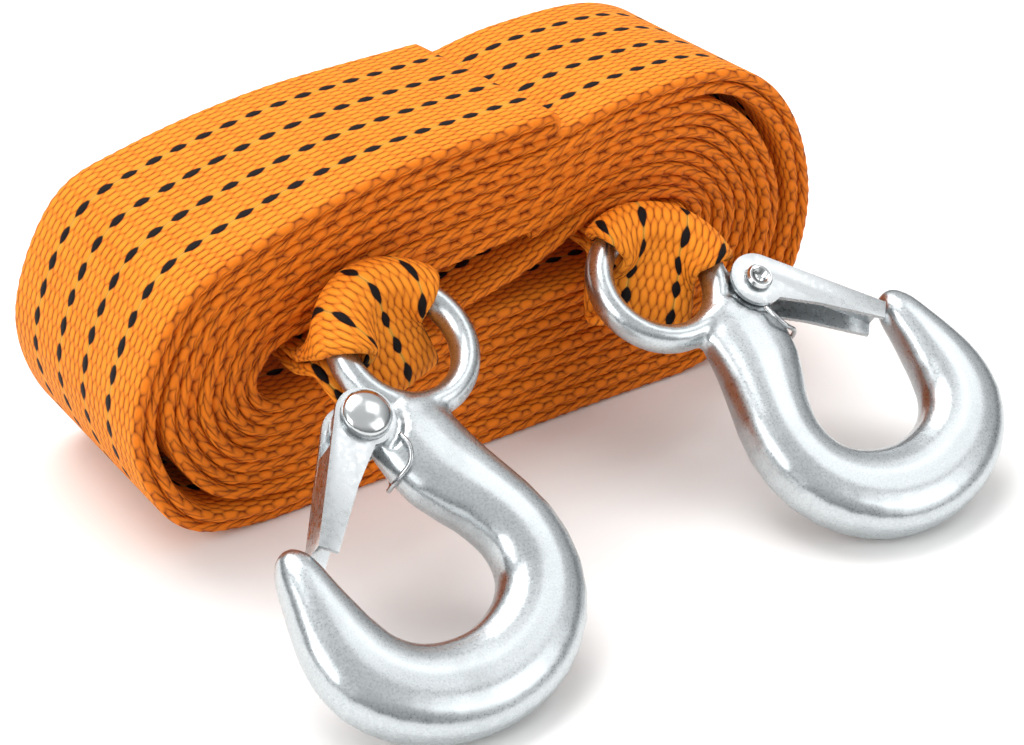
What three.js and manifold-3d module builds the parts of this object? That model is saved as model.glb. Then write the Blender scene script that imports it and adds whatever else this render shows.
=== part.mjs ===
// A webbing tow strap, folded in half and wound into a flat oval coil, with a forged eye hook
// sewn to each end. Millimetres, +Z up. The coil stands on its flat underside with its long
// axis along X, and both hooks lie in front of it on the -Y side.
import * as THREE from 'three';
import * as BufferGeometryUtils from 'three/addons/utils/BufferGeometryUtils.js';
import Module from 'manifold-3d';

const wasm = await Module();
wasm.setup();

// Webbing
const WEB_WIDTH = 50;
const WEB_THICK = 2.2;
const TURNS = 5;
const RECESS = 3;            // how far the innermost turn sits back from the outermost

// Sewn ends
const END_GAP = 0.6;

// Hook
const EYE_HEIGHT = 77;       // eye centre above the lowest point of the bowl
const EYE_SIDE = 1.2;        // eye centre to the right of the bowl's datum
const EYE_RADIUS = 12.7;     // centre line of the eye
const EYE_BAR = 2.9;         // half the bar, in the plane of the eye
const EYE_DEPTH = 3.5;       // half the bar, across the plane of the eye
const HOOK_HALF = 6.5;       // half the thickness of the bowl
const BOSS_HALF = 3;
const BOSS_RADIUS = 5;
const PIVOT = [-EYE_HEIGHT * 0.161, EYE_HEIGHT * 0.805];

// Latch, rivet and spring
const LATCH_LENGTH = 28.2;
const LATCH_SHEET = 1;
const EAR_RADIUS = 5.8;
const EAR_GAP = 0.35;
const SHANK_PIN = 2;
const PIN_GAP = 0.3;
const HEAD_RADIUS = 4.9;
const HEAD_HEIGHT = 2.6;
const TAIL_RADIUS = 2.8;
const TAIL_HEIGHT = 1.1;
const TAIL_HOLE = 1.5;
const WIRE = 0.5;

// Where the hooks lie: centre of the eye in front of the coil, direction from bowl to eye, and
// the face with the rivet's head
const FRONT = -WEB_WIDTH / 2;
const LEFT = {
  eye: [-57.1, FRONT - 14.8, 42.8],
  up: [0.195, 0.825, 0.53],
  face: [0.02, -0.545, 0.838],
  side: 1,
};
const RIGHT = {
  eye: [4.6, FRONT - 14.9, 37.8],
  up: [-0.428, 0.78, 0.457],
  face: [0.05, 0.525, -0.85],
  side: -1,
};

// Colours
const orange = new THREE.MeshStandardMaterial({ color: 0xe8781c, roughness: 0.85, metalness: 0 });
const zinc = new THREE.MeshStandardMaterial({ color: 0xb9bfc2, roughness: 0.35, metalness: 1 });
const sheet = new THREE.MeshStandardMaterial({ color: 0xa9adb0, roughness: 0.3, metalness: 1 });
const wire = new THREE.MeshStandardMaterial({ color: 0xa3a6a8, roughness: 0.25, metalness: 1 });

// Closed meshes and joins
function closedGeometry(positions, index) {
  const geometry = new THREE.BufferGeometry();
  geometry.setAttribute('position', new THREE.Float32BufferAttribute(positions, 3));
  geometry.setIndex(index);
  return geometry;
}

function toSolid(geometry) {
  let plain = geometry.clone();
  plain.deleteAttribute('normal');
  plain.deleteAttribute('uv');
  plain = BufferGeometryUtils.mergeVertices(plain, 1e-4);
  return new wasm.Manifold(new wasm.Mesh({
    numProp: 3,
    vertProperties: new Float32Array(plain.attributes.position.array),
    triVerts: new Uint32Array(plain.index.array),
  }));
}

function fromSolid(solid) {
  const mesh = solid.getMesh();
  return closedGeometry(Array.from(mesh.vertProperties), Array.from(mesh.triVerts));
}

// A grid of points, rows by columns, closed along the columns and capped at both ends
function skinRings(rings) {
  const positions = [];
  const index = [];
  const n = rings[0].length;
  for (const ring of rings) {
    for (const p of ring) positions.push(p.x, p.y, p.z);
  }
  for (let i = 0; i + 1 < rings.length; i += 1) {
    for (let j = 0; j < n; j += 1) {
      const a = i * n + j;
      const b = i * n + (j + 1) % n;
      index.push(a, b, b + n, a, b + n, a + n);
    }
  }
  for (const end of [0, rings.length - 1]) {
    const centre = new THREE.Vector3();
    for (const p of rings[end]) centre.addScaledVector(p, 1 / n);
    const c = positions.length / 3;
    positions.push(centre.x, centre.y, centre.z);
    for (let j = 0; j < n; j += 1) {
      const a = end * n + j;
      const b = end * n + (j + 1) % n;
      if (end === 0) index.push(c, b, a);
      else index.push(c, a, b);
    }
  }
  return closedGeometry(positions, index);
}

function outward(geometry) {
  const p = geometry.attributes.position;
  const t = geometry.index.array;
  const a = new THREE.Vector3();
  const b = new THREE.Vector3();
  const c = new THREE.Vector3();
  let volume = 0;
  for (let i = 0; i < t.length; i += 3) {
    a.fromBufferAttribute(p, t[i]);
    b.fromBufferAttribute(p, t[i + 1]);
    c.fromBufferAttribute(p, t[i + 2]);
    volume += a.dot(b.cross(c));
  }
  if (volume > 0) return geometry;
  const turned = [];
  for (let i = 0; i < t.length; i += 3) turned.push(t[i], t[i + 2], t[i + 1]);
  return closedGeometry(Array.from(p.array), turned);
}

// Coil
// Points round the coil, from the fold on top, over the left end, along the bottom and back
// over the right end: outer surface, hollow surface, the slack under the outermost turn, and
// how far the back edge hangs below the front edge.
const ROUND = [
  [[-13, 73.3], [-14, 46.4], 0, 5.5],
  [[-50, 71.5], [-42, 43.4], 0, 4.5],
  [[-80, 63.6], [-62, 40.4], 0, 2],
  [[-97, 53.8], [-73, 38.0], 0.6, 0],
  [[-106, 30.5], [-77.5, 31.5], 1.6, 0],
  [[-98.5, 8.5], [-74.5, 26.0], 3, 0],
  [[-82, 0.6], [-65, 25.6], 1.6, 0],
  [[-45, 0], [-42, 29.0], 0, 0],
  [[-2, 0], [-4, 31.0], 0, 0],
  [[31, 0.6], [16, 31.4], 0, 0],
  [[52.5, 10.5], [25, 33.6], 0.6, 0],
  [[59, 33], [27.5, 39.2], 1.6, 0],
  [[51.5, 57], [23, 43.2], 3, 1.5],
  [[34.5, 71.0], [14.5, 44.8], 1.6, 5],
  [[8.5, 72.2], [2.5, 45.2], 0, 5.5],
];
const STEPS = 3;             // samples between two of those points

function roundCurves() {
  const at = ([x, z]) => new THREE.Vector3(x, 0, z);
  const outer = ROUND.map((k) => at(k[0]));
  const hollow = ROUND.map((k) => at(k[1]));
  const extra = ROUND.map((k) => new THREE.Vector3(k[2], k[3], 0));
  // One round later the same place lies one folded pair further in
  const inward = hollow[0].clone().sub(outer[0]).divideScalar(TURNS);
  outer.push(outer[0].clone().add(inward));
  hollow.push(hollow[0].clone().add(inward));
  extra.push(extra[0].clone());
  return [outer, hollow, extra].map((list) => new THREE.CatmullRomCurve3(list, false, 'catmullrom', 0.5));
}

// Centre line of one strand, from the fold inwards: x and z at the front edge, y the fraction
// of the winding, and the drop of the back edge
function strand(inner, stop) {
  const [outerCurve, hollowCurve, extraCurve] = roundCurves();
  const perTurn = ROUND.length * STEPS;
  const points = [];
  for (let i = 0; i <= TURNS * perTurn; i += 1) {
    const turn = Math.min(Math.floor(i / perTurn), TURNS - 1);
    const u = i / perTurn - turn;
    if (turn + u > stop) break;
    const o = outerCurve.getPoint(u);
    o.z = Math.max(o.z, 0);
    const h = hollowCurve.getPoint(u);
    const extra = extraCurve.getPoint(u);
    const slack = Math.max(extra.x, 0);
    const full = h.distanceTo(o);
    const pair = (full - slack) / TURNS;
    // The slack opens over the end of the outermost turn only
    const depth = (turn > 0 ? slack : 0) + pair * turn + WEB_THICK / 2 + (inner ? pair / 2 : 0);
    const p = o.clone().lerp(h, depth / full);
    const part = (turn + u) / TURNS;
    points.push({ x: p.x, z: p.z, part, drop: extra.y * (1 - 0.6 * part) });
  }
  return points;
}

function coilPath() {
  const a = strand(false, TURNS).reverse();
  const b = strand(true, TURNS - 0.06);
  // The inner strand leaves the top of the hollow and crosses down to the left
  b.push({ x: -10, z: 40.4, part: 1, drop: 1 });
  b.push({ x: -18, z: 37.2, part: 1, drop: 0 });
  b.push({ x: -27, z: 34.9, part: 1, drop: 0 });
  b.push({ x: -37, z: 33.4, part: 1, drop: 0 });
  // Fold at the outer end of the strap
  const p = a[a.length - 1];
  const q = b[0];
  const radius = Math.hypot(p.x - q.x, p.z - q.z) / 2;
  const fold = [];
  for (let i = 1; i < 6; i += 1) {
    const w = Math.PI * (0.5 - i / 6);
    fold.push({
      x: (p.x + q.x) / 2 + radius * Math.cos(w),
      z: (p.z + q.z) / 2 + radius * Math.sin(w),
      part: 0,
      drop: p.drop,
    });
  }
  return [...a, ...fold, ...b];
}

function coilGeometry() {
  const path = coilPath();
  const rings = path.map((p, i) => {
    const before = path[Math.max(i - 1, 0)];
    const after = path[Math.min(i + 1, path.length - 1)];
    const across = new THREE.Vector2(-(after.z - before.z), after.x - before.x).normalize();
    const half = WEB_THICK / 2;
    const corner = (s, v) => new THREE.Vector3(
      p.x + across.x * half * s,
      RECESS * p.part + WEB_WIDTH / 2 * v,
      Math.max(p.z + across.y * half * s - p.drop * (v + 1) / 2, 0),
    );
    return [corner(1, -1), corner(-1, -1), corner(-1, 1), corner(1, 1)];
  });
  const positions = [];
  const index = [];
  for (const ring of rings) {
    for (const v of ring) positions.push(v.x, v.y, v.z);
  }
  for (let i = 0; i + 1 < rings.length; i += 1) {
    for (let j = 0; j < 4; j += 1) {
      const a = i * 4 + j;
      const b = i * 4 + (j + 1) % 4;
      index.push(a, b, b + 4, a, b + 4, a + 4);
    }
  }
  const e = (rings.length - 1) * 4;
  index.push(0, 2, 1, 0, 3, 2, e, e + 1, e + 2, e, e + 2, e + 3);
  return outward(closedGeometry(positions, index));
}

// Axes of one hook: x to the right and y from bowl to eye in the plane of the hook, z its face
function hookAxes(pose) {
  const y = new THREE.Vector3(...pose.up).normalize();
  const z = new THREE.Vector3(...pose.face);
  z.addScaledVector(y, -z.dot(y)).normalize();
  const x = new THREE.Vector3().crossVectors(y, z);
  const matrix = new THREE.Matrix4().makeBasis(x, y, z);
  const eye = new THREE.Vector3(...pose.eye);
  const origin = eye.clone().addScaledVector(y, -EYE_HEIGHT).addScaledVector(x, -EYE_SIDE);
  matrix.setPosition(origin);
  return { x, y, z, eye, origin, matrix };
}

// Sewn end
// The webbing goes out of the hollow, over the far side of the eye and down through it, and
// back into the hollow. Across, it lies along the curve of the eye, where turn is the middle of
// that arc and spread half of it, in degrees from the far point of the eye.
function endGeometry(pose, leg) {
  const { x, y, z, eye } = hookAxes(pose);
  const up = z.clone().multiplyScalar(pose.side);
  const a = EYE_BAR + END_GAP + WEB_THICK / 2;
  const b = EYE_DEPTH + END_GAP + WEB_THICK / 2;
  const columns = 10;
  const rows = [];
  const round = (degrees, wide) => {
    const w = degrees * Math.PI / 180;
    const row = [];
    for (let j = 0; j <= columns; j += 1) {
      const s = (leg.turn + (j / columns * 2 - 1) * leg.spread * wide) * pose.side * Math.PI / 180;
      const r = EYE_RADIUS + a * Math.cos(w);
      const p = eye.clone();
      p.addScaledVector(x, r * Math.sin(s));
      p.addScaledVector(y, r * Math.cos(s));
      p.addScaledVector(up, b * Math.sin(w));
      row.push(p);
    }
    return row;
  };
  const flat = (cy, cz, half, tilt) => {
    const row = [];
    for (let j = 0; j <= columns; j += 1) {
      const s = j / columns * 2 - 1;
      row.push(new THREE.Vector3(leg.x + half * s, cy, cz + tilt * s));
    }
    return row;
  };
  const inHollow = flat(FRONT + 4, leg.high, leg.half, leg.tilt);
  const rising = inHollow.map((p, j) => {
    const mixed = p.clone().lerp(round(0, 0.85)[j], 0.3);
    mixed.y = Math.min(mixed.y, FRONT + leg.front);
    return mixed;
  });
  rows.push(flat(FRONT + 31, leg.high, leg.half, leg.tilt));
  rows.push(flat(FRONT + 15, leg.high, leg.half, leg.tilt));
  rows.push(inHollow);
  rows.push(rising);
  rows.push(round(-22, 0.85));
  rows.push(round(15, 0.88));
  rows.push(round(52, 0.95));
  for (let w = 90; w <= 265; w += 35) rows.push(round(w, 1));
  rows.push(flat(FRONT + 4, leg.low, leg.half, leg.tilt));
  rows.push(flat(FRONT + 15, leg.low, leg.half, leg.tilt));
  rows.push(flat(FRONT + 31, leg.low, leg.half, leg.tilt));
  // Smooth each column, then thicken the sheet to both sides
  const per = 2;
  const grid = [];
  const curves = [];
  for (let j = 0; j <= columns; j += 1) {
    curves.push(new THREE.CatmullRomCurve3(rows.map((row) => row[j]), false, 'centripetal'));
  }
  const count = (rows.length - 1) * per;
  for (let i = 0; i <= count; i += 1) grid.push(curves.map((curve) => curve.getPoint(i / count)));
  const rings = grid.map((row, i) => {
    const before = grid[Math.max(i - 1, 0)];
    const after = grid[Math.min(i + 1, count)];
    const top = [];
    const bottom = [];
    row.forEach((p, j) => {
      const along = after[j].clone().sub(before[j]);
      const across = row[Math.min(j + 1, columns)].clone().sub(row[Math.max(j - 1, 0)]);
      const normal = new THREE.Vector3().crossVectors(along, across).normalize();
      top.push(p.clone().addScaledVector(normal, WEB_THICK / 2));
      bottom.push(p.clone().addScaledVector(normal, -WEB_THICK / 2));
    });
    return [...top, ...bottom.reverse()];
  });
  return outward(skinRings(rings));
}

// Hook body
// Centre line of the shank and bowl with half its width and half its thickness at each point,
// drawn for an eye 77 mm above the bowl and scaled with that height
const BODY = [
  [-3.6, 64.5, 7.6, 4.0],
  [-2.4, 58.7, 9.2, 4.8],
  [1.4, 51.4, 9.2, 5.7],
  [7.3, 44.8, 8.0, 6.2],
  [12.4, 37.4, 7.8, 6.5],
  [14.0, 29.1, 8.2, 6.5],
  [11.8, 21.6, 8.8, 6.5],
  [6.8, 15.6, 9.2, 6.5],
  [0.6, 11.7, 9.2, 6.5],
  [-6.0, 9.8, 9.2, 6.5],
  [-12.7, 9.5, 9.1, 6.5],
  [-19.2, 11.1, 9.0, 6.5],
  [-24.4, 14.7, 8.8, 6.3],
  [-27.6, 19.9, 8.0, 6.0],
  [-29.5, 25.4, 6.7, 5.5],
  [-31.0, 30.9, 5.2, 4.9],
  [-32.0, 35.4, 4.2, 4.2],
  [-32.3, 38.5, 2.9, 3.0],
  [-32.2, 40.0, 1.1, 1.2],
];

function bodyGeometry() {
  const scale = EYE_HEIGHT / 77;
  const centre = new THREE.CatmullRomCurve3(BODY.map(([x, y]) => new THREE.Vector3(x, y, 0)), false, 'centripetal');
  const sizes = new THREE.CatmullRomCurve3(BODY.map((s) => new THREE.Vector3(s[2], s[3], 0)), false, 'centripetal');
  const stations = (BODY.length - 1) * 2;
  const sides = 18;
  const rings = [];
  for (let i = 0; i <= stations; i += 1) {
    const t = i / stations;
    const c = centre.getPoint(t).multiplyScalar(scale);
    const size = sizes.getPoint(t).multiplyScalar(scale);
    const along = centre.getPoint(Math.min(t + 0.004, 1)).sub(centre.getPoint(Math.max(t - 0.004, 0))).normalize();
    const side = new THREE.Vector3(along.y, -along.x, 0);
    const ring = [];
    for (let j = 0; j < sides; j += 1) {
      const w = j / sides * Math.PI * 2;
      const cw = Math.cos(w);
      const sw = Math.sin(w);
      const u = Math.sign(cw) * Math.abs(cw) ** 0.8 * size.x;
      const v = Math.sign(sw) * Math.abs(sw) ** 0.8 * size.y;
      ring.push(c.clone().addScaledVector(side, u).add(new THREE.Vector3(0, 0, v)));
    }
    rings.push(ring);
  }
  return outward(skinRings(rings));
}

function eyeGeometry() {
  const ring = new THREE.TorusGeometry(EYE_RADIUS, 1, 12, 40);
  const p = ring.attributes.position;
  for (let i = 0; i < p.count; i += 1) {
    const flat = Math.hypot(p.getX(i), p.getY(i));
    const r = EYE_RADIUS + (flat - EYE_RADIUS) * EYE_BAR;
    p.setXYZ(i, p.getX(i) / flat * r, p.getY(i) / flat * r, p.getZ(i) * EYE_DEPTH);
  }
  ring.translate(EYE_SIDE, EYE_HEIGHT, 0);
  return ring;
}

// A disc along z centred on the pivot
function pivotDisc(radius, low, high, sides) {
  const disc = new THREE.CylinderGeometry(radius, radius, high - low, sides);
  disc.rotateX(Math.PI / 2);
  disc.translate(PIVOT[0], PIVOT[1], (high + low) / 2);
  return disc;
}

function hookGeometry() {
  // The boss is flat on both faces, so the shank is cut back round the pivot
  const ear = BOSS_HALF + EAR_GAP;
  let solid = toSolid(bodyGeometry());
  const clear = EAR_RADIUS + 1.8;
  solid = solid.subtract(toSolid(pivotDisc(clear, BOSS_HALF, HOOK_HALF * 2, 36)));
  solid = solid.subtract(toSolid(pivotDisc(clear, -HOOK_HALF * 2, -BOSS_HALF, 36)));
  solid = solid.add(toSolid(pivotDisc(BOSS_RADIUS, -BOSS_HALF, BOSS_HALF, 32)));
  solid = solid.add(toSolid(eyeGeometry()));
  const pin = pivotDisc(SHANK_PIN + PIN_GAP, -ear * 2, ear * 2, 24);
  return fromSolid(solid.subtract(toSolid(pin)));
}

// Latch
// A channel bent from sheet: two ears on the pivot, two tapering sides and a web along the
// outer edge. It is drawn along -y from the pivot and turned to its closed angle.
const LATCH_ANGLE = -27.5 * Math.PI / 180;

function latchGeometry() {
  const inside = BOSS_HALF + EAR_GAP;
  const outside = inside + LATCH_SHEET;
  const side = new THREE.Shape();
  side.absarc(0, 0, EAR_RADIUS, -1.05, Math.PI + 0.1, false);
  side.lineTo(-4.4, -LATCH_LENGTH * 0.55);
  side.lineTo(-3.4, -LATCH_LENGTH);
  side.lineTo(0.4, -LATCH_LENGTH);
  side.lineTo(1.4, -LATCH_LENGTH * 0.5);
  side.closePath();
  const plate = (low) => {
    const g = new THREE.ExtrudeGeometry(side, { depth: LATCH_SHEET, bevelEnabled: false, curveSegments: 28 });
    g.translate(0, 0, low);
    return toSolid(g);
  };
  const web = new THREE.Shape();
  web.moveTo(-5.1, -7.6);
  web.lineTo(-4.4, -LATCH_LENGTH * 0.55);
  web.lineTo(-3.4, -LATCH_LENGTH);
  web.lineTo(-3.4 + LATCH_SHEET, -LATCH_LENGTH);
  web.lineTo(-4.4 + LATCH_SHEET, -LATCH_LENGTH * 0.55);
  web.lineTo(-5.1 + LATCH_SHEET, -7.6);
  web.closePath();
  const back = new THREE.ExtrudeGeometry(web, { depth: outside * 2, bevelEnabled: false });
  back.translate(0, 0, -outside);
  const hole = new THREE.CylinderGeometry(SHANK_PIN + PIN_GAP, SHANK_PIN + PIN_GAP, outside * 4, 24);
  hole.rotateX(Math.PI / 2);
  const solid = plate(inside).add(plate(-outside)).add(toSolid(back)).subtract(toSolid(hole));
  const g = fromSolid(solid);
  g.rotateZ(LATCH_ANGLE);
  g.translate(PIVOT[0], PIVOT[1], 0);
  return g;
}

// Rivet
// A pin through ears and boss, with a domed head on the face and a hollow rolled tail behind
function rivetGeometry() {
  const seat = BOSS_HALF + EAR_GAP + LATCH_SHEET + PIN_GAP;
  const profile = [new THREE.Vector2(0, -seat + 0.6)];
  profile.push(new THREE.Vector2(TAIL_HOLE, -seat + 0.6));
  profile.push(new THREE.Vector2(TAIL_HOLE, -seat - TAIL_HEIGHT));
  profile.push(new THREE.Vector2(TAIL_RADIUS - 0.4, -seat - TAIL_HEIGHT));
  profile.push(new THREE.Vector2(TAIL_RADIUS, -seat - TAIL_HEIGHT / 2));
  profile.push(new THREE.Vector2(TAIL_RADIUS, -seat));
  profile.push(new THREE.Vector2(SHANK_PIN, -seat));
  profile.push(new THREE.Vector2(SHANK_PIN, seat));
  profile.push(new THREE.Vector2(HEAD_RADIUS, seat));
  for (let i = 1; i <= 6; i += 1) {
    const w = i / 6 * Math.PI / 2;
    const rise = 0.5 + (HEAD_HEIGHT - 0.5) * Math.sin(w);
    profile.push(new THREE.Vector2(i === 6 ? 0 : HEAD_RADIUS * Math.cos(w), seat + rise));
  }
  const g = new THREE.LatheGeometry(profile, 28);
  g.rotateX(Math.PI / 2);
  g.translate(PIVOT[0], PIVOT[1], 0);
  return outward(fromSolid(toSolid(g)));
}

// Spring
// A hairpin of thin wire: a leg over each face of the shank and a bar across its inner edge,
// scaled with the hook like its body
const LEG_POINTS = [[-7.2, 57.4, 5.1], [-6.4, 54.4, 5.8], [-6.9, 51.6, 5.1], [-8.4, 50.1, 3.6]];
const BAR_POINT = [-9.3, 49.4, 1.6];

function springGeometry() {
  const scale = EYE_HEIGHT / 77;
  const points = [];
  for (const [x, y, z] of LEG_POINTS) points.push(new THREE.Vector3(x, y, z));
  points.push(new THREE.Vector3(...BAR_POINT));
  points.push(new THREE.Vector3(BAR_POINT[0], BAR_POINT[1], -BAR_POINT[2]));
  for (const [x, y, z] of [...LEG_POINTS].reverse()) points.push(new THREE.Vector3(x, y, -z));
  for (const p of points) p.multiplyScalar(scale);
  const curve = new THREE.CatmullRomCurve3(points, false, 'centripetal');
  const round = new THREE.Shape();
  round.absarc(0, 0, WIRE, 0, Math.PI * 2, false);
  return new THREE.ExtrudeGeometry(round, { steps: 36, bevelEnabled: false, extrudePath: curve, curveSegments: 4 });
}

// Assembly
const object = new THREE.Group();

function add(name, geometry, material, matrix) {
  const mesh = new THREE.Mesh(geometry, material);
  mesh.name = name;
  if (matrix) mesh.applyMatrix4(matrix);
  object.add(mesh);
}

add('strap_coil', coilGeometry(), orange);
const LEG_LEFT = { x: -56.5, half: 12.5, high: 37.4, low: 34.4, tilt: 2.6, front: 0.7, turn: -20, spread: 62 };
const LEG_RIGHT = { x: 12.5, half: 11, high: 41.4, low: 37.8, tilt: 0, front: 0.5, turn: 50, spread: 56 };
add('strap_end_left', endGeometry(LEFT, LEG_LEFT), orange);
add('strap_end_right', endGeometry(RIGHT, LEG_RIGHT), orange);

for (const [side, pose] of [['left', LEFT], ['right', RIGHT]]) {
  const { matrix } = hookAxes(pose);
  add(`hook_${side}`, hookGeometry(), zinc, matrix);
  add(`latch_${side}`, latchGeometry(), sheet, matrix);
  add(`rivet_${side}`, rivetGeometry(), zinc, matrix);
  add(`spring_${side}`, springGeometry(), wire, matrix);
}

export default object;
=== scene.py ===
# A webbing tow strap: one orange band folded in half and wound into a flat oval coil, with a
# forged hook sewn into each end. The strap lies on a pale studio floor, hooks towards the
# camera. Metres, +Z up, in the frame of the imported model.
import math

import bmesh
import bpy
import numpy as np
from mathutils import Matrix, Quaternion, Vector


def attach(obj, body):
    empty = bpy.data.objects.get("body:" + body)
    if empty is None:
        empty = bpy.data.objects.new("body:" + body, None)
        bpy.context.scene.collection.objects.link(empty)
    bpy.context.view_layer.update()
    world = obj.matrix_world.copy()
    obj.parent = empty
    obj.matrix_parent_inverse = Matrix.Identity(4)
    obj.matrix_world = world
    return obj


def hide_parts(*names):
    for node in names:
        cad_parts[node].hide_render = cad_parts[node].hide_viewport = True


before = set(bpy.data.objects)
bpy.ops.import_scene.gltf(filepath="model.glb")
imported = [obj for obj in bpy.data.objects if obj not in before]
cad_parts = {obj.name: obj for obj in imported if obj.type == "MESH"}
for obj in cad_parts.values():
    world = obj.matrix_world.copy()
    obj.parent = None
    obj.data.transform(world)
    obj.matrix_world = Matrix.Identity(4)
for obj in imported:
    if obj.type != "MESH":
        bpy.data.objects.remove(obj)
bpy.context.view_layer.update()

# Studio
# A pale matt floor, one large soft light above and behind, a softer one from the left, a weak
# fill from the front and a weak one on the right that the faces of the hooks reflect. The world
# is a light tent, dark grey at the horizon, so that the plated steel has both to reflect.
MM = 0.001
CAMERA_PLACE = Vector((-273.5, -357.1, 286.3)) * MM
CAMERA_TARGET = Vector((-0.5, 0, -4.1)) * MM
CAMERA_ROLL = math.radians(3.465)
CAMERA_LENS = 85.26


def linear(hex_colour):
    channels = []
    for place in (0, 2, 4):
        value = int(hex_colour[place:place + 2], 16) / 255
        channels.append(value / 12.92 if value <= 0.04045 else ((value + 0.055) / 1.055) ** 2.4)
    return (*channels, 1)


def add_node(tree, kind, inputs=(), output=0, **settings):
    node = tree.nodes.new(kind)
    for key, value in settings.items():
        setattr(node, key, value)
    for socket, value in dict(inputs).items():
        if isinstance(value, bpy.types.NodeSocket):
            tree.links.new(value, node.inputs[socket])
        else:
            node.inputs[socket].default_value = value
    return node.outputs[output] if len(node.outputs) else node


bpy.ops.object.select_all(action="DESELECT")
bpy.ops.object.camera_add(location=CAMERA_PLACE)
camera = bpy.context.object
camera.rotation_mode = "QUATERNION"
aim = (CAMERA_TARGET - CAMERA_PLACE).to_track_quat("-Z", "Y")
camera.rotation_quaternion = aim @ Quaternion((0, 0, 1), CAMERA_ROLL)
camera.data.lens = CAMERA_LENS
camera.data.sensor_width = 36
camera.data.clip_start = 0.01
camera.data.clip_end = 50
bpy.context.scene.camera = camera

floor_paint = bpy.data.materials.new("pale_matt_floor")
floor_paint.use_nodes = True
floor_shader = floor_paint.node_tree.nodes["Principled BSDF"]
floor_shader.inputs["Base Color"].default_value = linear("F4F4F3")
floor_shader.inputs["Roughness"].default_value = 0.9
floor_shader.inputs["Specular IOR Level"].default_value = 0.1
bpy.ops.mesh.primitive_plane_add(size=8, location=(0, 0, -0.0004))
floor = bpy.context.object
floor.name = "studio_floor"
floor.data.materials.append(floor_paint)

# Each light: name, place, size and power. All of them face the strap.
for light_name, place, size, power in (
        ("soft_light_above", (-0.15, 0.55, 1.25), 1.1, 17),
        ("soft_light_left", (-1.3, -0.25, 0.75), 0.8, 9),
        ("soft_light_front", (0.75, -1.25, 0.7), 0.9, 5),
        ("soft_light_right", (0.6, -0.25, 1.0), 0.5, 1.2)):
    bpy.ops.object.light_add(type="AREA", location=place)
    light = bpy.context.object
    light.name = light_name
    light.data.shape = "SQUARE"
    light.data.size = size
    light.data.energy = power
    light.rotation_mode = "QUATERNION"
    light.rotation_quaternion = (-Vector(place)).to_track_quat("-Z", "Y")

world = bpy.data.worlds.new("light_tent")
bpy.context.scene.world = world
world.use_nodes = True
tent = world.node_tree
tent.nodes.clear()
direction = add_node(tent, "ShaderNodeTexCoord", output=0)
height_up = add_node(tent, "ShaderNodeSeparateXYZ", {0: direction}, output=2)
tent_band = add_node(tent, "ShaderNodeMapRange", {0: height_up, 1: 0.0, 2: 0.6, 3: 0.0, 4: 1.0})
tent_mix = add_node(tent, "ShaderNodeMix",
                    {0: tent_band, 6: linear("4E5458"), 7: linear("FFFFFF")},
                    output=2, data_type="RGBA")
tent_light = add_node(tent, "ShaderNodeBackground", {0: tent_mix, 1: 0.75})
add_node(tent, "ShaderNodeOutputWorld", {0: tent_light})
bpy.context.scene.view_settings.view_transform = "Standard"

# Wound webbing
# One band of woven polypropylene, 50 mm wide and about 2.4 mm thick, folded in half and wound
# five times round. Four black tracer yarns come up in dashes; the rest of the warp comes up in
# the same staggered floats, orange, and the selvedges are rounded and slightly scalloped.
WEB_WIDTH = 50.0
WEB_THICK = 2.4
THICKEST = 2.75
CAD_THICK = 2.2
TURNS = 5
RECESS = 3.0             # how far the innermost turn sits back
INNER_STOP = 0.06        # share of a turn by which the inner strand ends early
WARP_REPEAT = 5.69       # along the band, from one float to the next on the same yarn
YARN_PITCH = 10 / 11     # across the band
SELVEDGE_WRAP = 1.7      # of weave, from the face to the middle of an edge
LIFT = 0.12              # the band is thicker than the solid, so it is raised off the floor
# Outer surface, hollow surface, slack under the outermost turn, drop of the back edge
ROUND = [
    ((-13, 73.3), (-14, 46.4), 0, 5.5),
    ((-50, 71.5), (-42, 43.4), 0, 4.5),
    ((-80, 63.6), (-62, 40.4), 0, 2),
    ((-97, 53.8), (-73, 38.0), 0.6, 0),
    ((-106, 30.5), (-77.5, 31.5), 1.6, 0),
    ((-98.5, 8.5), (-74.5, 26.0), 3, 0),
    ((-82, 0.6), (-65, 25.6), 1.6, 0),
    ((-45, 0), (-42, 29.0), 0, 0),
    ((-2, 0), (-4, 31.0), 0, 0),
    ((31, 0.6), (16, 31.4), 0, 0),
    ((52.5, 10.5), (25, 33.6), 0.6, 0),
    ((59, 33), (27.5, 39.2), 1.6, 0),
    ((51.5, 57), (23, 43.2), 3, 1.5),
    ((34.5, 71.0), (14.5, 44.8), 1.6, 5),
    ((8.5, 72.2), (2.5, 45.2), 0, 5.5),
]


def through(knots, t):
    """Points of the smooth curve through the knots, where t runs from 0 to the last knot."""
    knots = np.asarray(knots, float)
    padded = np.vstack([2 * knots[0] - knots[1], knots, 2 * knots[-1] - knots[-2]])
    t = np.clip(np.asarray(t, float), 0, len(knots) - 1)
    i = np.minimum(t.astype(int), len(knots) - 2)
    w = (t - i)[:, None]
    p0, p1, p2, p3 = padded[i], padded[i + 1], padded[i + 2], padded[i + 3]
    a, b = (p2 - p0) / 2, (p3 - p1) / 2
    return p1 + a * w + (3 * (p2 - p1) - 2 * a - b) * w ** 2 + (2 * (p1 - p2) + a + b) * w ** 3


def evenly(points, pitch):
    """The same line with points a pitch apart."""
    step = np.linalg.norm(np.diff(points[:, :2], axis=0), axis=1)
    along = np.concatenate([[0], np.cumsum(step)])
    wanted = np.linspace(0, along[-1], int(along[-1] / pitch) + 1)
    moved = [np.interp(wanted, along, points[:, k]) for k in range(points.shape[1])]
    return np.stack(moved, 1), wanted


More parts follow.
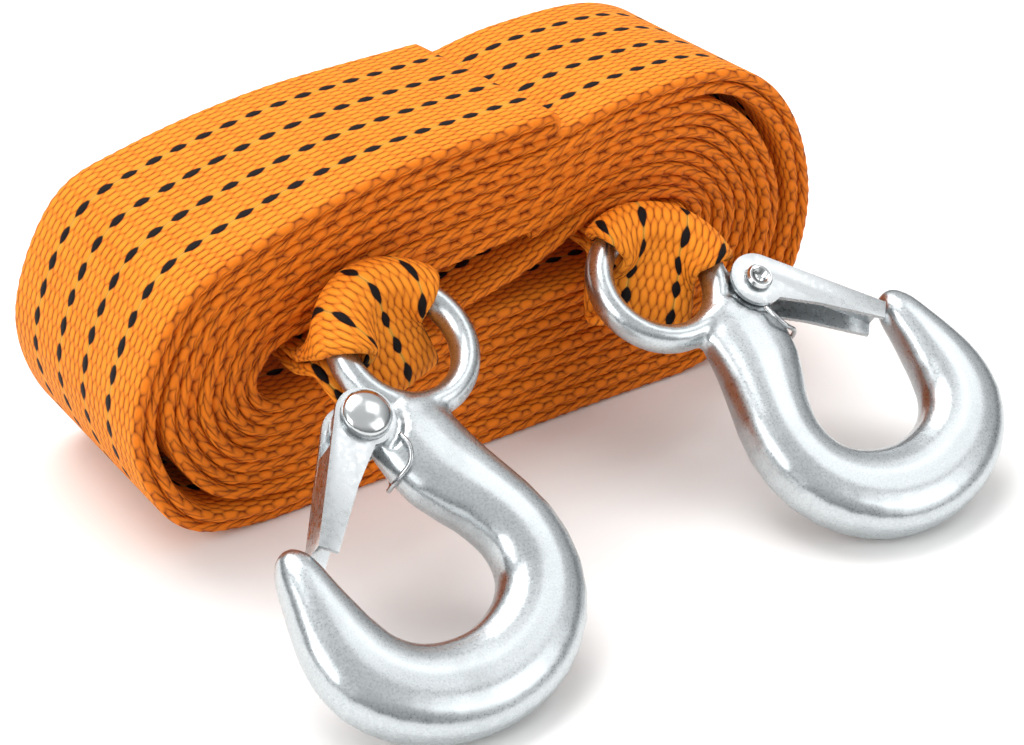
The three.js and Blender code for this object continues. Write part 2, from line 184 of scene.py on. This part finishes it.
def wound_strand(inner, stop):
    """Columns: x, z, share of the winding, drop of the back edge, spare room beside the band."""
    fine = 24
    outer = np.array([k[0] for k in ROUND], float)
    hollow = np.array([k[1] for k in ROUND], float)
    extra = np.array([k[2:] for k in ROUND], float)
    inward = (hollow[0] - outer[0]) / TURNS
    outer = np.vstack([outer, outer[0] + inward])
    hollow = np.vstack([hollow, hollow[0] + inward])
    extra = np.vstack([extra, extra[0]])
    per_turn = len(ROUND) * fine
    count = np.arange(int(stop * per_turn) + 1)
    turn = np.minimum(count // per_turn, TURNS - 1)
    u = count / per_turn - turn
    o = through(outer, u * len(ROUND))
    o[:, 1] = np.maximum(o[:, 1], 0)
    h = through(hollow, u * len(ROUND))
    e = through(extra, u * len(ROUND))
    slack = np.maximum(e[:, 0], 0)
    full = np.linalg.norm(h - o, axis=1)
    pair = (full - slack) / TURNS
    depth = np.where(turn > 0, slack, 0) + pair * turn + CAD_THICK / 2
    depth = depth + (pair / 2 if inner else 0)
    p = o + (h - o) * (depth / full)[:, None]
    part = (turn + u) / TURNS
    return np.column_stack([p, part, e[:, 1] * (1 - 0.6 * part), pair / 2 - CAD_THICK])


def skin_band(name, centre, along, across, thick, scallop=0.0):
    """A closed band round a grid of centre points, rows along it and columns across, with
    rounded selvedges, nothing below the floor, and a texture map in millimetres."""
    rows, columns = centre.shape[:2]
    run = np.gradient(centre, axis=0)
    side = np.gradient(centre, axis=1)
    normal = np.cross(run, side)
    normal /= np.linalg.norm(normal, axis=2)[:, :, None]
    side /= np.linalg.norm(side, axis=2)[:, :, None]
    half = (np.zeros(rows) + thick)[:, None] / 2
    wave = scallop * np.cos(2 * np.pi * along / (WARP_REPEAT / 2))
    across = np.broadcast_to(across, (rows, columns))
    ring, across_at, lower = [], [], []
    for j in range(columns):
        ring.append(centre[:, j] + normal[:, j] * half)
        across_at.append(across[:, j])
        lower.append(0)
    for edge, sign, turns in ((columns - 1, 1, (45, 90, 135)), (0, -1, (135, 90, 45))):
        for degrees in turns:
            a = math.radians(degrees)
            out = half * math.sin(a) + (wave if edge else -wave)[:, None] * math.sin(a)
            rim = centre[:, edge] + side[:, edge] * sign * out
            ring.append(rim + normal[:, edge] * half * math.cos(a))
            across_at.append(across[:, edge] + sign * SELVEDGE_WRAP * math.sin(a))
            lower.append(1 if degrees > 90 else 0)
        if edge:
            for j in range(columns - 1, -1, -1):
                ring.append(centre[:, j] - normal[:, j] * half)
                across_at.append(across[:, j])
                lower.append(1)
    ring = np.stack(ring, axis=1) * MM
    ring[:, :, 2] = np.maximum(ring[:, :, 2], 0)
    n = ring.shape[1]
    quads = []
    for j in range(n):
        k = (j + 1) % n
        i = np.arange(rows - 1) * n
        quads.append(np.stack([i + j, i + k, i + k + n, i + j + n], 1))
    quads = np.concatenate(quads)
    faces = [tuple(q) for q in quads.tolist()]
    faces.append(tuple(range(n - 1, -1, -1)))
    faces.append(tuple(range((rows - 1) * n, rows * n)))
    mesh = bpy.data.meshes.new(name)
    mesh.from_pydata(ring.reshape(-1, 3).tolist(), [], faces)
    mesh.update()
    column = np.array([v % n for f in faces for v in f])
    row = np.array([v // n for f in faces for v in f])
    u = along[row] + np.array(lower)[column] * WARP_REPEAT / 2
    coordinates = np.stack([u, np.stack(across_at, 1)[row, column]], 1).astype(np.float32)
    layer = mesh.uv_layers.new(name="webbing")
    layer.data.foreach_set("uv", coordinates.ravel())
    turned = bmesh.new()
    turned.from_mesh(mesh)
    bmesh.ops.recalc_face_normals(turned, faces=turned.faces)
    turned.to_mesh(mesh)
    turned.free()
    mesh.polygons.foreach_set("use_smooth", [True] * len(mesh.polygons))
    band = bpy.data.objects.new(name, mesh)
    bpy.context.scene.collection.objects.link(band)
    return band


outer_strand = wound_strand(False, TURNS)[::-1]
inner_strand = wound_strand(True, TURNS - INNER_STOP)
# The fold at the outer end, as half a turn between the two strands
top, under = outer_strand[-1], inner_strand[0]
fold_radius = np.hypot(*(top[:2] - under[:2])) / 2
middle = (top[:2] + under[:2]) / 2
fold = []
for i in range(1, 12):
    a = math.pi * (0.5 - i / 12)
    fold.append([middle[0] + fold_radius * math.cos(a), middle[1] + fold_radius * math.sin(a),
                 0, top[3], 0.2])
# The inner strand leaves the top of the hollow and crosses down to the left
crossing = [list(inner_strand[-1]), [-10, 40.4, 1, 1, 0.3], [-18, 37.2, 1, 0, 0.3],
            [-27, 34.9, 1, 0, 0.3], [-37, 33.4, 1, 0, 0.3]]
crossing = through(crossing, np.linspace(0, 4, 60)[1:])
line, line_along = evenly(np.vstack([outer_strand, fold, inner_strand, crossing]),
                          WARP_REPEAT / 8)
# Where the winding is loose the band swells a little, averaged over about 86 mm of its length
REACH = 60
room = np.convolve(np.pad(line[:, 4], REACH, mode="edge"), np.ones(2 * REACH + 1) / (2 * REACH + 1),
                   mode="valid")
room = np.clip(room, 0.2, 1.2)
thickness = np.minimum(CAD_THICK + room * 0.75, THICKEST)
across_mm = np.array([-1, -0.66, -0.33, 0, 0.33, 0.66, 1]) * (WEB_WIDTH / 2 - WEB_THICK / 2)
# No turn lies exactly over the one below it
edge_shift = 0.35 * np.sin(line_along / 37) + 0.25 * np.sin(line_along / 13.7 + 1)
grid = np.zeros((len(line), len(across_mm), 3))
for j, y in enumerate(across_mm):
    grid[:, j, 0] = line[:, 0]
    grid[:, j, 1] = RECESS * line[:, 2] + y + edge_shift
    grid[:, j, 2] = line[:, 1] - line[:, 3] * (y + WEB_WIDTH / 2) / WEB_WIDTH
grid[:, :, 2] += LIFT
coil = skin_band("webbing_coil", grid, line_along, across_mm, thickness, scallop=0.16)

webbing = bpy.data.materials.new("woven_polypropylene")
webbing.use_nodes = True
weave = webbing.node_tree
weave.nodes.clear()
place = add_node(weave, "ShaderNodeUVMap", uv_map="webbing")
along_mm = add_node(weave, "ShaderNodeSeparateXYZ", {0: place}, output=0)
across_band = add_node(weave, "ShaderNodeSeparateXYZ", {0: place}, output=1)
TRACER_ROW = 5.0         # the tracer yarns lie 5 and 15 mm to each side of the middle
FLOAT_HALF = 0.37        # half a float, as a share of the repeat
DASH_HALF = 0.36         # half a black dash, likewise
DASH_WIDE = 1.05         # half the width of a dash in millimetres
# Yarns wander by a tenth of a millimetre across and a few tenths along
wander = add_node(weave, "ShaderNodeTexNoise", {"Vector": place, "Scale": 0.35, "Detail": 1.0})
wander = add_node(weave, "ShaderNodeMath", {0: wander, 1: 0.5}, operation="SUBTRACT")
wander_across = add_node(weave, "ShaderNodeMath", {0: wander, 1: 0.5}, operation="MULTIPLY")
wander_along = add_node(weave, "ShaderNodeMath", {0: wander, 1: 1.2}, operation="MULTIPLY")
across_yarn = add_node(weave, "ShaderNodeMath", {0: across_band, 1: wander_across}, operation="ADD")
along_yarn = add_node(weave, "ShaderNodeMath", {0: along_mm, 1: wander_along}, operation="ADD")
repeats = add_node(weave, "ShaderNodeMath", {0: along_yarn, 1: WARP_REPEAT}, operation="DIVIDE")
yarn_pairs = add_node(weave, "ShaderNodeMath", {0: across_yarn, 1: 2 * YARN_PITCH}, operation="DIVIDE")
floats = []
dashes = []
for shift, tracer in ((0.0, TRACER_ROW), (0.5, -TRACER_ROW)):
    # Distance from the middle of the nearest warp float, along and across
    du = add_node(weave, "ShaderNodeMath", {0: repeats, 1: 0.5 + shift}, operation="ADD")
    du = add_node(weave, "ShaderNodeMath", {0: du}, operation="FRACT")
    du = add_node(weave, "ShaderNodeMath", {0: du, 1: 0.5}, operation="SUBTRACT")
    du_float = add_node(weave, "ShaderNodeMath", {0: du, 1: 1 / FLOAT_HALF}, operation="MULTIPLY")
    du_square = add_node(weave, "ShaderNodeMath", {0: du_float, 1: du_float},
                         operation="MULTIPLY")
    dv = add_node(weave, "ShaderNodeMath", {0: yarn_pairs, 1: 0.75 + shift}, operation="ADD")
    dv = add_node(weave, "ShaderNodeMath", {0: dv}, operation="FRACT")
    dv = add_node(weave, "ShaderNodeMath", {0: dv, 1: 0.5}, operation="SUBTRACT")
    dv_float = add_node(weave, "ShaderNodeMath", {0: dv, 1: 2 / 1.05}, operation="MULTIPLY")
    dv_square = add_node(weave, "ShaderNodeMath", {0: dv_float, 1: dv_float},
                         operation="MULTIPLY")
    rise = add_node(weave, "ShaderNodeMath", {0: 1.0, 1: du_square}, operation="SUBTRACT")
    rise = add_node(weave, "ShaderNodeMath", {0: rise, 1: dv_square}, operation="SUBTRACT")
    rise = add_node(weave, "ShaderNodeMath", {0: rise, 1: 0.0}, operation="MAXIMUM")
    floats.append(add_node(weave, "ShaderNodeMath", {0: rise}, operation="SQRT"))
    # Black tracer floats, pointed at both ends; two rows 20 mm apart share a phase
    row = add_node(weave, "ShaderNodeMath", {0: across_yarn, 1: -tracer}, operation="ADD")
    row = add_node(weave, "ShaderNodeMath", {0: row, 1: 4 * TRACER_ROW}, operation="DIVIDE")
    row = add_node(weave, "ShaderNodeMath", {0: row, 1: 0.5}, operation="ADD")
    row = add_node(weave, "ShaderNodeMath", {0: row}, operation="FRACT")
    row = add_node(weave, "ShaderNodeMath", {0: row, 1: 0.5}, operation="SUBTRACT")
    row = add_node(weave, "ShaderNodeMath", {0: row, 1: 4 * TRACER_ROW / DASH_WIDE},
                   operation="MULTIPLY")
    row = add_node(weave, "ShaderNodeMath", {0: row}, operation="ABSOLUTE")
    row_power = add_node(weave, "ShaderNodeMath", {0: row, 1: 1.5}, operation="POWER")
    dash_along = add_node(weave, "ShaderNodeMath", {0: du, 1: 1 / DASH_HALF}, operation="MULTIPLY")
    dash_along = add_node(weave, "ShaderNodeMath", {0: dash_along}, operation="ABSOLUTE")
    dash_power = add_node(weave, "ShaderNodeMath", {0: dash_along, 1: 1.5}, operation="POWER")
    dash = add_node(weave, "ShaderNodeMath", {0: row_power, 1: dash_power}, operation="ADD")
    dash = add_node(weave, "ShaderNodeMapRange", {0: dash, 1: 1.1, 2: 0.85, 3: 0.0, 4: 1.0})
    thread = add_node(weave, "ShaderNodeMapRange", {0: row, 1: 0.45, 2: 0.2, 3: 0.0, 4: 1.0})
    dashes.append((dash, thread))
relief = add_node(weave, "ShaderNodeMath", {0: floats[0], 1: floats[1]}, operation="MAXIMUM")
inside = add_node(weave, "ShaderNodeMath", {0: across_band}, operation="ABSOLUTE")
inside = add_node(weave, "ShaderNodeMath", {0: inside, 1: 4 * TRACER_ROW},
                  operation="LESS_THAN")
tracer_mask = add_node(weave, "ShaderNodeMath", {0: dashes[0][0], 1: dashes[1][0]},
                       operation="MAXIMUM")
tracer_mask = add_node(weave, "ShaderNodeMath", {0: tracer_mask, 1: inside}, operation="MULTIPLY")
# A thin yellow thread shows between the dashes of each tracer yarn
thread_mask = add_node(weave, "ShaderNodeMath", {0: dashes[0][1], 1: dashes[1][1]},
                       operation="MAXIMUM")
thread_mask = add_node(weave, "ShaderNodeMath", {0: thread_mask, 1: inside}, operation="MULTIPLY")
thread_mask = add_node(weave, "ShaderNodeMath", {0: thread_mask, 1: 0.55}, operation="MULTIPLY")
# Orange yarn, with painted shade and painted highlight: deep red-orange painted into the valleys
# between the floats, lighter on their crowns
shade = add_node(weave, "ShaderNodeMapRange", {0: relief, 1: 0.3, 2: 0.92, 3: 0.0, 4: 1.0})
yarn = add_node(weave, "ShaderNodeMix", {0: shade, 6: linear("A84206"), 7: linear("F68C1E")},
                output=2, data_type="RGBA")
# The dye takes a little lighter in patches of about 9 mm
dye = add_node(weave, "ShaderNodeTexNoise",
               {"Vector": place, "Scale": 0.11, "Detail": 3.0, "Roughness": 0.6})
dye = add_node(weave, "ShaderNodeMapRange", {0: dye, 1: 0.3, 2: 0.7, 3: 0.0, 4: 0.25})
yarn = add_node(weave, "ShaderNodeMix", {0: dye, 6: yarn, 7: linear("FAA634")},
                output=2, data_type="RGBA")
yarn = add_node(weave, "ShaderNodeMix", {0: thread_mask, 6: yarn, 7: linear("E9B64C")},
                output=2, data_type="RGBA")
# Painted shade: the selvedges take a deeper red-orange than the face, standing in for the shade on the
# sides of the band
selvedge_shade_mask = add_node(weave, "ShaderNodeMath", {0: across_band}, operation="ABSOLUTE")
selvedge_shade_mask = add_node(weave, "ShaderNodeMapRange",
                    {0: selvedge_shade_mask, 1: 23.6, 2: 25.2, 3: 0.0, 4: 0.75})
shaded_selvedge_yarn = add_node(weave, "ShaderNodeMix", {0: shade, 6: linear("7A2A03"), 7: linear("EA7612")},
                     output=2, data_type="RGBA")
yarn = add_node(weave, "ShaderNodeMix", {0: selvedge_shade_mask, 6: yarn, 7: shaded_selvedge_yarn},
                output=2, data_type="RGBA")
colour = add_node(weave, "ShaderNodeMix", {0: tracer_mask, 6: yarn, 7: linear("0A0304")},
                  output=2, data_type="RGBA")
# Fibres run along the yarns; a tenth of a millimetre apart, coarser than real ones, so they show
fibre = add_node(weave, "ShaderNodeMapping", {0: place, 3: (1.2, 9.0, 1.0)})
fibre = add_node(weave, "ShaderNodeTexNoise", {"Vector": fibre, "Scale": 1.0, "Detail": 2.0})
fibre = add_node(weave, "ShaderNodeMath", {0: fibre, 1: 0.22}, operation="MULTIPLY")
surface = add_node(weave, "ShaderNodeMath", {0: relief, 1: fibre}, operation="ADD")
bump = add_node(weave, "ShaderNodeBump", {"Strength": 1.0, "Distance": 0.0006, "Height": surface})
cloth = add_node(weave, "ShaderNodeBsdfPrincipled",
                 {"Base Color": colour, "Roughness": 0.7, "Specular IOR Level": 0.2,
                  "Normal": bump})
add_node(weave, "ShaderNodeOutputMaterial", {0: cloth})
coil.data.materials.append(webbing)
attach(coil, "strap")
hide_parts("strap_coil")

# Sewn ends
# At each end the band is turned back through the eye of its hook and sewn to itself inside the
# coil. It comes forward out of the hollow, over the far bar of the eye and down through it, as
# a wide loop, because webbing this stiff can't wrap tightly round a 6 mm bar.
END_THICK = 2.3
# How each hook lies: centre of its eye, direction from bowl to eye, the face with the rivet's
# head, and 1 where that face is up or -1 where it is down
HOOK_LIES = {
    "left": {"eye": (-57.1, -39.8, 42.8), "up": (0.195, 0.825, 0.53),
             "face": (0.02, -0.545, 0.838), "side": 1},
    "right": {"eye": (4.6, -39.9, 37.8), "up": (-0.428, 0.78, 0.457),
              "face": (0.05, 0.525, -0.85), "side": -1},
}
# In the hollow: middle, half width, heights of the upper and lower leg, and tilt. On the eye: the
# middle of the arc that is covered and half of that arc, in degrees. Last, which part of the
# weave lies in the middle.
END_RUNS = {
    "left": {"x": -56.5, "half": 12.5, "high": 37.4, "low": 34.4, "tilt": 2.6,
             "turn": -30, "spread": 70, "middle": -5},
    "right": {"x": 12.5, "half": 11, "high": 41.4, "low": 37.8, "tilt": 0,
              "turn": 54, "spread": 68, "middle": 0.5},
}
# Where the legs pass inside the hollow, from its back to its front
HOLLOW_ROWS = (6, -10, -21)
# Over the bar: distance from the centre of the eye, height over its plane, share of the arc
OVER_BAR = ((17.0, 0.6, 0.86), (15.8, 3.6, 0.9), (12.9, 5.3, 0.96), (9.6, 4.6, 1.0), (7.6, 2.2, 1.0))
# Down through the eye: distance towards the middle of the arc, height, half width
THROUGH_EYE = ((1.8, -1.8, 8.2), (-2.2, -4.6, 8.4), (-4.4, -8.0, 9.4), (-1.5, -11.5, 10),
               (8, -10.5, 10))
ROWS_BETWEEN = 10
sewn_ends = {}
for side_name, lie in HOOK_LIES.items():
    end = END_RUNS[side_name]
    hook_y = Vector(lie["up"]).normalized()
    hook_z = Vector(lie["face"])
    hook_z = (hook_z - hook_y * hook_z.dot(hook_y)).normalized()
    hook_x = hook_y.cross(hook_z)
    eye = Vector(lie["eye"])
    upward = hook_z * lie["side"]
    columns = np.linspace(-1, 1, 25)
    centre_angle = math.radians(end["turn"]) * lie["side"]
    radial = hook_x * math.sin(centre_angle) + hook_y * math.cos(centre_angle)
    lateral = (hook_x * math.cos(centre_angle) - hook_y * math.sin(centre_angle)) * lie["side"]

    def flat_row(y, z):
        return [Vector((end["x"] + end["half"] * s, y, z + end["tilt"] * s)) for s in columns]

    def round_row(radius, rise, wide=1.0):
        row = []
        for s in columns:
            a = math.radians(end["turn"] + end["spread"] * s * wide) * lie["side"]
            row.append(eye + (hook_x * math.sin(a) + hook_y * math.cos(a)) * radius + upward * rise)
        return row

    def hole_row(reach, rise, half):
        return [eye + radial * reach + lateral * half * s + upward * (rise - 1.6 * s * s)
                for s in columns]

    rows = [flat_row(y, end["high"]) for y in HOLLOW_ROWS]
    rise_row = [a.lerp(b, 0.3) for a, b in zip(rows[-1], round_row(17.3, 0, 0.9))]
    for p in rise_row:
        p.y = min(p.y, -24.3)
    rows.append(rise_row)
    rows.extend(round_row(*spot) for spot in OVER_BAR)
    rows.extend(hole_row(*spot) for spot in THROUGH_EYE)
    rows.extend(flat_row(y, end["low"]) for y in reversed(HOLLOW_ROWS))
    knots = np.array([[list(p) for p in row] for row in rows])
    flat_knots = knots.reshape(len(rows), -1)
    last = len(rows) - 1
    smooth = through(flat_knots, np.linspace(0, last, last * ROWS_BETWEEN + 1))
    end_grid = smooth.reshape(-1, len(columns), 3)
    middle = end_grid[:, len(columns) // 2]
    end_along = np.concatenate([[0], np.cumsum(np.linalg.norm(np.diff(middle, axis=0), axis=1))])
    # Across, the weave keeps its size, so the tracer yarns stay 10 mm apart where it narrows
    steps = np.linalg.norm(np.diff(end_grid, axis=1), axis=2)
    end_across = np.concatenate([np.zeros((len(steps), 1)), np.cumsum(steps, axis=1)], axis=1)
    end_across += end["middle"] - end_across[:, [len(columns) // 2]]
    sewn_ends[side_name] = skin_band("sewn_end_" + side_name, end_grid, end_along, end_across,
                                     END_THICK)
    sewn_ends[side_name].data.materials.append(webbing)
    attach(sewn_ends[side_name], "strap")
    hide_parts("strap_end_" + side_name)

# Hooks
# Drop-forged carbon steel, bright zinc plated. The forging has soft edges where eye, shank and
# bowl run into each other; the plating is satin, with fine rubbing marks and small dark pits.
# Its noise scales are per metre: 2200 gives grains of 0.45 mm, coarse enough to show.
GRAIN_SCALE = 2200.0
STAIN_SCALE = 70.0       # patches of 14 mm
PIT_SCALE = 1100.0       # pits within cells of 0.9 mm
RUB_SCALES = (2600.0, 150.0, 900.0)   # marks 7 mm long and 0.4 to 1 mm wide
zinc = bpy.data.materials.new("bright_zinc_on_forged_steel")
zinc.use_nodes = True
plating = zinc.node_tree
plating.nodes.clear()
spot = add_node(plating, "ShaderNodeTexCoord", output=3)
grain = add_node(plating, "ShaderNodeTexNoise",
                 {"Vector": spot, "Scale": GRAIN_SCALE, "Detail": 2.0, "Roughness": 0.6})
tone = add_node(plating, "ShaderNodeMapRange", {0: grain, 1: 0.3, 2: 0.7, 3: 0.0, 4: 1.0})
metal = add_node(plating, "ShaderNodeMix", {0: tone, 6: linear("B8BEC1"), 7: linear("CCD1D3")},
                 output=2, data_type="RGBA")
cloud = add_node(plating, "ShaderNodeTexNoise",
                 {"Vector": spot, "Scale": STAIN_SCALE, "Detail": 4.0, "Roughness": 0.6})
stain = add_node(plating, "ShaderNodeMapRange", {0: cloud, 1: 0.55, 2: 0.75, 3: 0.0, 4: 0.3})
metal = add_node(plating, "ShaderNodeMix", {0: stain, 6: metal, 7: linear("8B8F90")}, output=2,
                 data_type="RGBA")
pits = add_node(plating, "ShaderNodeTexNoise",
                {"Vector": spot, "Scale": PIT_SCALE, "Detail": 2.0, "Roughness": 0.7})
pit_mask = add_node(plating, "ShaderNodeMapRange", {0: pits, 1: 0.72, 2: 0.79, 3: 0.0, 4: 0.5})
metal = add_node(plating, "ShaderNodeMix", {0: pit_mask, 6: metal, 7: linear("55595B")}, output=2,
                 data_type="RGBA")
# Rubbing marks: noise drawn out along one direction
marks = add_node(plating, "ShaderNodeMapping", {0: spot, 2: (0.3, 0.5, 0.7), 3: RUB_SCALES})
marks = add_node(plating, "ShaderNodeTexNoise", {"Vector": marks, "Scale": 1.0, "Detail": 2.0})
gloss = add_node(plating, "ShaderNodeMapRange", {0: grain, 1: 0.3, 2: 0.7, 3: 0.26, 4: 0.33})
skin = add_node(plating, "ShaderNodeMath", {0: marks, 1: 0.6}, operation="MULTIPLY")
skin = add_node(plating, "ShaderNodeMath", {0: grain, 1: skin}, operation="ADD")
skin = add_node(plating, "ShaderNodeBump", {"Strength": 0.4, "Distance": 0.000013, "Height": skin})
steel = add_node(plating, "ShaderNodeBsdfPrincipled",
                 {"Base Color": metal, "Metallic": 1.0, "Roughness": gloss, "Normal": skin})
add_node(plating, "ShaderNodeOutputMaterial", {0: steel})


def copy_of_node(node_name, piece_name):
    """A merged copy of a solid of the frame, selected and active."""
    bpy.ops.object.select_all(action="DESELECT")
    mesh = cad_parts[node_name].data.copy()
    mesh.materials.clear()
    piece = bpy.data.objects.new(piece_name, mesh)
    bpy.context.scene.collection.objects.link(piece)
    bpy.context.view_layer.objects.active = piece
    piece.select_set(True)
    bpy.ops.object.mode_set(mode="EDIT")
    bpy.ops.mesh.select_all(action="SELECT")
    bpy.ops.mesh.remove_doubles(threshold=0.000002)
    bpy.ops.object.mode_set(mode="OBJECT")
    return piece


for side_name in HOOK_LIES:
    hook = copy_of_node("hook_" + side_name, "forged_hook_" + side_name)
    remesh = hook.modifiers.new("forging_surface", "REMESH")
    remesh.mode = "VOXEL"
    remesh.voxel_size = 0.6 * MM
    bpy.ops.object.modifier_apply(modifier=remesh.name)
    ease = hook.modifiers.new("soft_edges", "SMOOTH")
    ease.factor = 0.5
    ease.iterations = 10
    bpy.ops.object.modifier_apply(modifier=ease.name)
    bpy.ops.object.shade_smooth()
    hook.data.materials.append(zinc)
    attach(hook, "strap")
    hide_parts("hook_" + side_name)

# Latches
# Each latch is one piece of sheet steel, cut and bent to a channel with an ear on each side of
# the boss. The press leaves small round bends, and the plated sheet has a faint 1 mm grain.
stamped = bpy.data.materials.new("zinc_on_sheet_steel")
stamped.use_nodes = True
pressing = stamped.node_tree
pressing.nodes.clear()
sheet_spot = add_node(pressing, "ShaderNodeTexCoord", output=3)
sheet_grain = add_node(pressing, "ShaderNodeTexNoise",
                       {"Vector": sheet_spot, "Scale": 900.0, "Detail": 3.0})
sheet_gloss = add_node(pressing, "ShaderNodeMapRange",
                       {0: sheet_grain, 1: 0.3, 2: 0.7, 3: 0.22, 4: 0.36})
sheet_bump = add_node(pressing, "ShaderNodeBump",
                      {"Strength": 0.3, "Distance": 0.000008, "Height": sheet_grain})
sheet_steel = add_node(pressing, "ShaderNodeBsdfPrincipled",
                       {"Base Color": linear("C6CACC"), "Metallic": 1.0, "Roughness": sheet_gloss,
                        "Normal": sheet_bump})
add_node(pressing, "ShaderNodeOutputMaterial", {0: sheet_steel})
for side_name in HOOK_LIES:
    latch = copy_of_node("latch_" + side_name, "latch_plate_" + side_name)
    bpy.ops.object.mode_set(mode="EDIT")
    bpy.ops.mesh.select_all(action="SELECT")
    bpy.ops.mesh.dissolve_limited(angle_limit=math.radians(1))
    bpy.ops.object.mode_set(mode="OBJECT")
    bend = latch.modifiers.new("round_bends", "BEVEL")
    bend.width = 0.3 * MM
    bend.segments = 3
    bend.limit_method = "ANGLE"
    bend.angle_limit = math.radians(40)
    bpy.ops.object.modifier_apply(modifier=bend.name)
    bpy.ops.object.shade_smooth_by_angle(angle=math.radians(35))
    latch.data.materials.append(stamped)
    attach(latch, side_name + "_latch")
    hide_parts("latch_" + side_name)

# Rivets
# Steel rivets through ears and boss: a domed head on one face, the rolled hollow tail on the
# other. The head is the most polished metal on the strap.
polished = bpy.data.materials.new("polished_zinc_rivet")
polished.use_nodes = True
rivet_shader = polished.node_tree.nodes["Principled BSDF"]
rivet_spot = add_node(polished.node_tree, "ShaderNodeTexCoord", output=3)
# Rubbed patches of about 2 mm
rub = add_node(polished.node_tree, "ShaderNodeTexNoise",
               {"Vector": rivet_spot, "Scale": 500.0, "Detail": 2.0})
rub_gloss = add_node(polished.node_tree, "ShaderNodeMapRange",
                     {0: rub, 1: 0.3, 2: 0.7, 3: 0.13, 4: 0.24})
polished.node_tree.links.new(rub_gloss, rivet_shader.inputs["Roughness"])
rivet_shader.inputs["Base Color"].default_value = linear("CDD0D1")
rivet_shader.inputs["Metallic"].default_value = 1.0
for side_name in HOOK_LIES:
    rivet = copy_of_node("rivet_" + side_name, "latch_rivet_" + side_name)
    bpy.ops.object.shade_smooth_by_angle(angle=math.radians(32))
    rivet.data.materials.append(polished)
    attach(rivet, "strap")
    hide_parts("rivet_" + side_name)

# Springs
# A hairpin of 1 mm spring wire holds each latch shut. Its legs lie over both faces of the
# shank and its bar across the inner edge.
wire = bpy.data.materials.new("drawn_spring_wire")
wire.use_nodes = True
wire_shader = wire.node_tree.nodes["Principled BSDF"]
wire_spot = add_node(wire.node_tree, "ShaderNodeTexCoord", output=3)
# Drawing marks of about 0.7 mm
drawn = add_node(wire.node_tree, "ShaderNodeTexNoise",
                 {"Vector": wire_spot, "Scale": 1500.0, "Detail": 1.0})
drawn_gloss = add_node(wire.node_tree, "ShaderNodeMapRange",
                       {0: drawn, 1: 0.3, 2: 0.7, 3: 0.18, 4: 0.3})
wire.node_tree.links.new(drawn_gloss, wire_shader.inputs["Roughness"])
wire_shader.inputs["Base Color"].default_value = linear("B9BCBE")
wire_shader.inputs["Metallic"].default_value = 1.0
for side_name in HOOK_LIES:
    spring = copy_of_node("spring_" + side_name, "latch_spring_" + side_name)
    bpy.ops.object.shade_smooth_by_angle(angle=math.radians(50))
    spring.data.materials.append(wire)
    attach(spring, "strap")
    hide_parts("spring_" + side_name)
